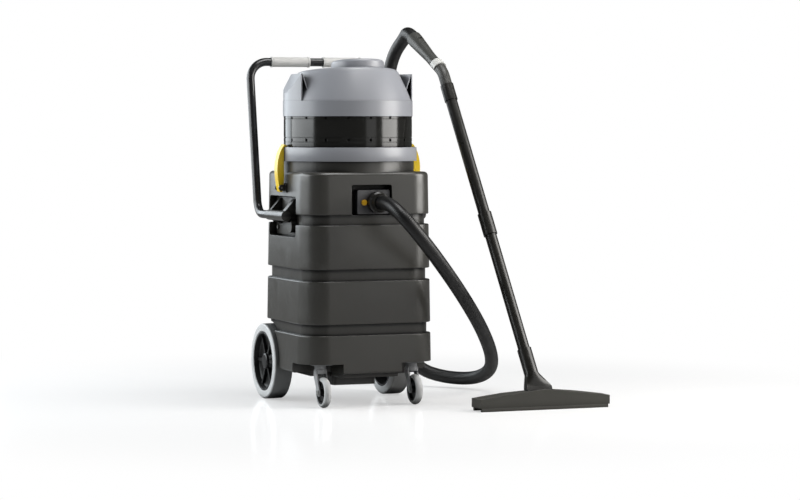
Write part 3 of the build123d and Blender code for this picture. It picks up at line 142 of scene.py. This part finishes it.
def finish(name, colour, roughness, grain=0.0007, relief=0.00003, mottling=0.05, smears=0.05,
           metallic=0.0, specular=0.5, coat=0.0, stretch=(1, 1, 1), edge=0.0009, closed_gap_shade=0.3,
           ribs=0.0, grooves=(), tread_shade=1.0):
    """A moulded or coated finish: mottling, grain, uneven gloss, soft edges, painted shade in
    gaps.

    grain, relief, edge and ribs are lengths in metres.  closed_gap_shade and tread_shade are
    how much of the colour the painted shade leaves in a closed gap and across a tread.
    """
    material = bpy.data.materials.new(name)
    material.use_nodes = True
    tree = material.node_tree
    shader = tree.nodes["Principled BSDF"]
    shader.inputs["Metallic"].default_value = metallic
    shader.inputs["Coat Weight"].default_value = coat
    shader.inputs["Coat Roughness"].default_value = COAT_ROUGHNESS
    place = tree.nodes.new("ShaderNodeTexCoord")
    mapping = tree.nodes.new("ShaderNodeMapping")
    mapping.inputs["Scale"].default_value = stretch
    tree.links.new(place.outputs["Object"], mapping.inputs["Vector"])

    def noise(scale, detail):
        made = tree.nodes.new("ShaderNodeTexNoise")
        made.inputs["Scale"].default_value = scale
        made.inputs["Detail"].default_value = detail
        tree.links.new(mapping.outputs["Vector"], made.inputs["Vector"])
        return made

    # painted shade: ambient occlusion darkens the colour and the specular level in gaps,
    # recesses and under parts
    open_air = tree.nodes.new("ShaderNodeAmbientOcclusion")
    open_air.samples = GAP_SHADE_SAMPLES
    open_air.inputs["Distance"].default_value = GAP_SHADE_REACH
    painted_occlusion = tree.nodes.new("ShaderNodeMapRange")
    painted_occlusion.inputs["From Min"].default_value = GAP_SHADE_CLOSED
    painted_occlusion.inputs["From Max"].default_value = GAP_SHADE_OPEN
    painted_occlusion.inputs["To Min"].default_value = closed_gap_shade
    tree.links.new(open_air.outputs["AO"], painted_occlusion.inputs["Value"])
    occluded_specular = tree.nodes.new("ShaderNodeMath")
    occluded_specular.operation = "MULTIPLY"
    occluded_specular.inputs[1].default_value = specular
    tree.links.new(painted_occlusion.outputs["Result"], occluded_specular.inputs[0])
    tree.links.new(occluded_specular.outputs["Value"], shader.inputs["Specular IOR Level"])
    mottled = spread(tree, noise(MOTTLING_SCALE, MOTTLING_DETAIL), 1 - mottling, 1 + mottling)
    # random mottling times the painted shades
    shades = [mottled.outputs["Result"], painted_occlusion.outputs["Result"]]
    # painted shadow lines along the tank's grooves
    if grooves:
        shades.append(groove_shadow_lines(tree, place, grooves))
    # painted shade across a tyre's tread
    if tread_shade < 1:
        shades.append(tread_painted_shade(tree, place, tread_shade))
    shade = shades[0]
    for factor in shades[1:]:
        product = tree.nodes.new("ShaderNodeMath")
        product.operation = "MULTIPLY"
        tree.links.new(shade, product.inputs[0])
        tree.links.new(factor, product.inputs[1])
        shade = product.outputs["Value"]
    tint = tree.nodes.new("ShaderNodeVectorMath")
    tint.operation = "SCALE"
    tint.inputs[0].default_value = colour[:3]
    tree.links.new(shade, tint.inputs["Scale"])
    tree.links.new(tint.outputs["Vector"], shader.inputs["Base Color"])
    gloss = spread(tree, noise(GLOSS_SCALE, GLOSS_DETAIL), roughness - smears,
                   roughness + smears)
    tree.links.new(gloss.outputs["Result"], shader.inputs["Roughness"])
    bump = tree.nodes.new("ShaderNodeBump")
    bump.inputs["Distance"].default_value = relief
    rounding = tree.nodes.new("ShaderNodeBevel")
    rounding.samples = EDGE_SAMPLES
    rounding.inputs["Radius"].default_value = edge
    tree.links.new(rounding.outputs["Normal"], bump.inputs["Normal"])
    tree.links.new(noise(1 / grain, GRAIN_DETAIL).outputs["Fac"], bump.inputs["Height"])
    if ribs:
        wave = tree.nodes.new("ShaderNodeTexWave")
        wave.inputs["Scale"].default_value = WAVE_PER_RIB / ribs
        tree.links.new(place.outputs["Object"], wave.inputs["Vector"])
        ridges = tree.nodes.new("ShaderNodeBump")
        ridges.inputs["Distance"].default_value = ribs / RIB_SLENDERNESS
        tree.links.new(wave.outputs["Fac"], ridges.inputs["Height"])
        tree.links.new(rounding.outputs["Normal"], ridges.inputs["Normal"])
        tree.links.new(ridges.outputs["Normal"], bump.inputs["Normal"])
    tree.links.new(bump.outputs["Normal"], shader.inputs["Normal"])
    return material


FINISHES = {
    "tank_plastic": finish("tank_plastic", linear(57, 56, 52), 0.33, grain=0.0011,
                           relief=0.00006, specular=0.8, edge=0.0016, closed_gap_shade=0.1,
                           grooves=TANK_GROOVES),
    "frame_steel": finish("frame_steel", linear(30, 30, 31), 0.3, grain=0.0016,
                          relief=0.00003, coat=0.3),
    "zinc_steel": finish("zinc_steel", linear(190, 190, 186), 0.32, metallic=1.0,
                         stretch=(1, 8, 8)),
    "wheel_grey": finish("wheel_grey", linear(208, 209, 209), 0.55, grain=0.0009,
                         relief=0.00005),
    "tyre_grey": finish("tyre_grey", linear(216, 217, 217), 0.55, grain=0.0009,
                        relief=0.00005, tread_shade=0.35),
    "wheel_dark": finish("wheel_dark", linear(13, 13, 13), 0.45),
    "wheel_cap": finish("wheel_cap", linear(26, 26, 27), 0.35),
    "caster_grey": finish("caster_grey", linear(172, 173, 175), 0.3, specular=0.8),
    "caster_hub": finish("caster_hub", linear(30, 30, 30), 0.42),
    "grip_grey": finish("grip_grey", linear(212, 211, 208), 0.5, grain=0.0012,
                        relief=0.00008, ribs=GRIP_RIB),
    "latch_yellow": finish("latch_yellow", linear(248, 210, 32), 0.33, mottling=0.03, closed_gap_shade=0.6),
    "button_amber": finish("button_amber", linear(232, 178, 36), 0.35, mottling=0.03, closed_gap_shade=0.8),
    "head_grey": finish("head_grey", linear(152, 154, 160), 0.33, grain=0.0009,
                        relief=0.00003, mottling=0.02, smears=0.015, specular=0.7),
    "vent_black": finish("vent_black", linear(30, 30, 28), 0.14, relief=0.00001,
                         mottling=0.08, smears=0.02),
    "seal_rubber": finish("seal_rubber", linear(34, 34, 34), 0.7),
    "inlet_grey": finish("inlet_grey", linear(88, 88, 90), 0.42),
    "wand_black": finish("wand_black", linear(34, 33, 30), 0.3, grain=0.0010,
                         relief=0.00003),
    "wand_grip": finish("wand_grip", linear(66, 66, 63), 0.42, grain=0.0012,
                        relief=0.00008),
    "slider_white": finish("slider_white", linear(206, 206, 202), 0.45),
    "tool_grey": finish("tool_grey", linear(72, 71, 66), 0.45, grain=0.0011,
                        relief=0.00006, edge=0.0018),
    "tool_strip": finish("tool_strip", linear(96, 95, 90), 0.6),
    "hose_black": finish("hose_black", linear(9, 9, 9), 0.42, grain=0.0014,
                         relief=0.00003, specular=0.55),
    "motor_metal": finish("motor_metal", linear(180, 180, 180), 0.4, metallic=1.0),
    "fan_plastic": finish("fan_plastic", linear(220, 220, 214), 0.5),
}


def dress(node, material):
    """Gives a CAD node its finish, smooth between faces that meet at a shallow angle."""
    for held in node.material_slots:
        held.material = material
    for face in node.data.polygons:
        face.use_smooth = True
    weld = node.modifiers.new("weld", "WELD")
    weld.merge_threshold = WELD_REACH
    crease = node.modifiers.new("crease", "EDGE_SPLIT")
    crease.split_angle = math.radians(CREASE_DEGREES)


# nodes whose finish differs from that of their material slot; the tyres' finish paints shade
# on the tread
OWN_FINISH = {"wheel_left_tyre": "tyre_grey", "wheel_right_tyre": "tyre_grey"}
for entry in frame["record"]["subparts"]:
    node_name = entry["node"]
    dress(frame["nodes"][node_name],
          FINISHES[OWN_FINISH.get(node_name, entry["material_slot"])])


# ---------------------------------------------------------------------------------- hose
ROUTE_ORDER = 3
ROUTE_RESOLUTION = 40


def smooth_line(points):
    """Points along a NURBS curve through the route, close together."""
    curve = bpy.data.curves.new("route", "CURVE")
    curve.dimensions = "3D"
    spline = curve.splines.new("NURBS")
    spline.points.add(len(points) - 1)
    for held, point in zip(spline.points, points):
        held.co = (*point, 1)
    spline.order_u = ROUTE_ORDER
    spline.use_endpoint_u = True
    curve.resolution_u = ROUTE_RESOLUTION
    holder = bpy.data.objects.new("route", curve)
    bpy.context.scene.collection.objects.link(holder)
    depsgraph = bpy.context.evaluated_depsgraph_get()
    mesh = bpy.data.meshes.new_from_object(holder.evaluated_get(depsgraph))
    line = [vertex.co.copy() for vertex in mesh.vertices]
    bpy.data.objects.remove(holder)
    return line


def even_steps(line, step):
    """Points a fixed step apart along a line."""
    steps = [line[0]]
    left = step
    for start, end in zip(line, line[1:]):
        span = (end - start).length
        done = 0.0
        while span - done >= left:
            done += left
            steps.append(start.lerp(end, done / span))
            left = step
        left -= span - done
    steps.append(line[-1])
    return steps


def ribbed_hose(name, line):
    """A tube along the line with a shallow spiral rib."""
    step = HOSE_RIB_PITCH / HOSE_RINGS_PER_RIB
    centres = even_steps(line, step)
    vertices, faces = [], []
    side = Vector((1, 0, 0))
    for ring, centre in enumerate(centres):
        after = centres[min(ring + 1, len(centres) - 1)]
        before = centres[max(ring - 1, 0)]
        ahead = (after - before).normalized()
        side = (side - ahead * side.dot(ahead)).normalized()
        up = ahead.cross(side)
        for corner in range(HOSE_SIDES):
            angle = 2 * math.pi * corner / HOSE_SIDES
            wave = math.cos(2 * math.pi * ring / HOSE_RINGS_PER_RIB + angle)
            reach = HOSE_RADIUS - HOSE_RIB_DEPTH * (0.5 - 0.5 * wave)
            outward = side * math.cos(angle) + up * math.sin(angle)
            vertices.append(centre + outward * reach)
    for ring in range(len(centres) - 1):
        for corner in range(HOSE_SIDES):
            low = ring * HOSE_SIDES
            beside = (corner + 1) % HOSE_SIDES
            faces.append((low + corner, low + beside, low + HOSE_SIDES + beside,
                          low + HOSE_SIDES + corner))
    faces.append(tuple(reversed(range(HOSE_SIDES))))
    faces.append(tuple(range(len(vertices) - HOSE_SIDES, len(vertices))))
    mesh = bpy.data.meshes.new(name)
    mesh.from_pydata(vertices, [], faces)
    for face in mesh.polygons:
        face.use_smooth = True
    made = bpy.data.objects.new(name, mesh)
    bpy.context.scene.collection.objects.link(made)
    return made


hose_line = smooth_line(HOSE_ROUTE)
hose_piece = ribbed_hose("ribbed_hose", hose_line)
hose_piece.data.materials.append(FINISHES["hose_black"])
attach(hose_piece, "machine")
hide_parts("hose")

# --------------------------------------------------------------------------------- stage
FLOOR_HALF = 30.0
WHITE_FROM = 0.5           # distance at which the floor starts to turn pure white
WHITE_TO = 2.0
FLOOR_PAINT = (0.45, 0.45, 0.45, 1)         # as it lights the object
FLOOR_PAINT_SEEN = (0.8, 0.8, 0.8, 1)       # as the camera sees it
FLOOR_ROUGHNESS = 0.14
FLOOR_SPECULAR = 0.35
FLOOR_LIFT = 0.46          # glow that only the camera sees
FLOOR_FAR = 0.25           # how bright the far floor looks to the object
WHITE = (1, 1, 1, 1)
SKY_FILL = 0.1             # light that reaches matt faces from all round
SKY_FRONT = 0.05           # what glossy faces mirror on the camera's side
SKY_BACK = 0.06            # and behind the object
SKY_TURN = (-0.1, 0.5)     # Y of the direction where front gives way to back


def studio_floor():
    """White studio floor with soft shadows and a faint gloss, pure white far away."""
    material = bpy.data.materials.new("studio_floor")
    material.use_nodes = True
    tree = material.node_tree
    tree.nodes.clear()
    links = tree.links
    path = tree.nodes.new("ShaderNodeLightPath")
    place = tree.nodes.new("ShaderNodeTexCoord")
    distance = tree.nodes.new("ShaderNodeVectorMath")
    distance.operation = "LENGTH"
    links.new(place.outputs["Object"], distance.inputs[0])
    far = tree.nodes.new("ShaderNodeMapRange")
    far.interpolation_type = "SMOOTHERSTEP"
    far.inputs["From Min"].default_value = WHITE_FROM
    far.inputs["From Max"].default_value = WHITE_TO
    links.new(distance.outputs["Value"], far.inputs["Value"])
    paint = tree.nodes.new("ShaderNodeMix")
    paint.data_type = "RGBA"
    paint.inputs["A"].default_value = FLOOR_PAINT
    paint.inputs["B"].default_value = FLOOR_PAINT_SEEN
    links.new(path.outputs["Is Camera Ray"], paint.inputs["Factor"])
    surface = tree.nodes.new("ShaderNodeBsdfPrincipled")
    surface.inputs["Roughness"].default_value = FLOOR_ROUGHNESS
    surface.inputs["Specular IOR Level"].default_value = FLOOR_SPECULAR
    links.new(paint.outputs["Result"], surface.inputs["Base Color"])
    strength = tree.nodes.new("ShaderNodeMath")
    strength.operation = "MULTIPLY"
    strength.inputs[1].default_value = FLOOR_LIFT
    links.new(path.outputs["Is Camera Ray"], strength.inputs[0])
    lift = tree.nodes.new("ShaderNodeEmission")
    lift.inputs["Color"].default_value = WHITE
    links.new(strength.outputs["Value"], lift.inputs["Strength"])
    both = tree.nodes.new("ShaderNodeAddShader")
    links.new(surface.outputs["BSDF"], both.inputs[0])
    links.new(lift.outputs["Emission"], both.inputs[1])
    backdrop = tree.nodes.new("ShaderNodeMapRange")
    backdrop.inputs["To Min"].default_value = FLOOR_FAR
    links.new(path.outputs["Is Camera Ray"], backdrop.inputs["Value"])
    white = tree.nodes.new("ShaderNodeEmission")
    white.inputs["Color"].default_value = WHITE
    links.new(backdrop.outputs["Result"], white.inputs["Strength"])
    mixed = tree.nodes.new("ShaderNodeMixShader")
    links.new(far.outputs["Result"], mixed.inputs["Fac"])
    links.new(both.outputs["Shader"], mixed.inputs[1])
    links.new(white.outputs["Emission"], mixed.inputs[2])
    output = tree.nodes.new("ShaderNodeOutputMaterial")
    links.new(mixed.outputs["Shader"], output.inputs["Surface"])

    mesh = bpy.data.meshes.new("floor")
    corners = [(-FLOOR_HALF, -FLOOR_HALF, 0), (FLOOR_HALF, -FLOOR_HALF, 0),
               (FLOOR_HALF, FLOOR_HALF, 0), (-FLOOR_HALF, FLOOR_HALF, 0)]
    mesh.from_pydata(corners, [], [(0, 1, 2, 3)])
    mesh.materials.append(material)
    floor = bpy.data.objects.new("floor", mesh)
    bpy.context.scene.collection.objects.link(floor)


def softbox(name, place, target, width, height, radiance, colour=(1, 1, 1)):
    """A rectangular lamp; its power follows from how bright its face is."""
    lamp = bpy.data.lights.new(name, "AREA")
    lamp.shape = "RECTANGLE"
    lamp.size = width
    lamp.size_y = height
    lamp.energy = radiance * math.pi * width * height
    lamp.color = colour
    holder = bpy.data.objects.new(name, lamp)
    holder.location = place
    aim = Vector(target) - Vector(place)
    holder.rotation_euler = aim.to_track_quat("-Z", "Y").to_euler()
    holder.visible_camera = False
    bpy.context.scene.collection.objects.link(holder)


def studio_world():
    """Dim fill light, a dim backdrop for glossy faces, and pure white for the camera."""
    world = bpy.data.worlds.new("studio")
    world.use_nodes = True
    tree = world.node_tree
    tree.nodes.clear()
    links = tree.links
    path = tree.nodes.new("ShaderNodeLightPath")
    place = tree.nodes.new("ShaderNodeTexCoord")
    parts = tree.nodes.new("ShaderNodeSeparateXYZ")
    links.new(place.outputs["Generated"], parts.inputs["Vector"])
    around = tree.nodes.new("ShaderNodeMapRange")
    around.interpolation_type = "SMOOTHSTEP"
    around.inputs["From Min"].default_value = SKY_TURN[0]
    around.inputs["From Max"].default_value = SKY_TURN[1]
    around.inputs["To Min"].default_value = SKY_FRONT
    around.inputs["To Max"].default_value = SKY_BACK
    links.new(parts.outputs["Y"], around.inputs["Value"])
    fill = tree.nodes.new("ShaderNodeMix")
    fill.inputs["A"].default_value = SKY_FILL
    links.new(path.outputs["Is Glossy Ray"], fill.inputs["Factor"])
    links.new(around.outputs["Result"], fill.inputs["B"])
    seen = tree.nodes.new("ShaderNodeMath")
    seen.operation = "MAXIMUM"
    links.new(path.outputs["Is Camera Ray"], seen.inputs[0])
    links.new(path.outputs["Is Transmission Ray"], seen.inputs[1])
    strength = tree.nodes.new("ShaderNodeMapRange")
    links.new(seen.outputs["Value"], strength.inputs["Value"])
    links.new(fill.outputs["Result"], strength.inputs["To Min"])
    background = tree.nodes.new("ShaderNodeBackground")
    background.inputs["Color"].default_value = WHITE
    links.new(strength.outputs["Result"], background.inputs["Strength"])
    output = tree.nodes.new("ShaderNodeOutputWorld")
    links.new(background.outputs["Background"], output.inputs["Surface"])
    bpy.context.scene.world = world


# ---------------------------------------------------------------------------------- view
CAMERA_PLACE = (-2.889, -7.728, 0.837)
CAMERA_DOWN = 2.665        # degrees below the level
CAMERA_RIGHT = 21.583      # degrees to the right of +Y
LENS = 123.75              # millimetres, on a sensor 36 mm wide
SENSOR = 36


def camera():
    """A long lens in front of the machine and to its left, aimed slightly down."""
    lens = bpy.data.cameras.new("camera")
    lens.lens = LENS
    lens.sensor_width = SENSOR
    holder = bpy.data.objects.new("camera", lens)
    holder.location = CAMERA_PLACE
    holder.rotation_euler = (math.radians(90 - CAMERA_DOWN), 0, math.radians(-CAMERA_RIGHT))
    bpy.context.scene.collection.objects.link(holder)
    bpy.context.scene.camera = holder


MIDDLE = (0, 0, 0.55)      # what every lamp is aimed at
studio_floor()
studio_world()
softbox("left_softbox", (-2.4, 0.9, 1.5), MIDDLE, 3.0, 1.7, 4.4, (0.94, 0.98, 1.0))
softbox("left_back_softbox", (-1.0, 2.35, 1.4), MIDDLE, 1.5, 1.8, 3.2, (0.88, 0.95, 1.0))
softbox("right_softbox", (1.6, -1.0, 1.15), MIDDLE, 1.2, 1.4, 6.8, (1.0, 0.98, 0.95))
softbox("front_softbox", (1.3, -3.4, 0.9), MIDDLE, 1.2, 1.6, 0.8)
softbox("top_softbox", (0.4, -0.7, 3.1), MIDDLE, 1.6, 1.2, 7.0)
camera()
bpy.context.scene.view_settings.view_transform = "Standard"
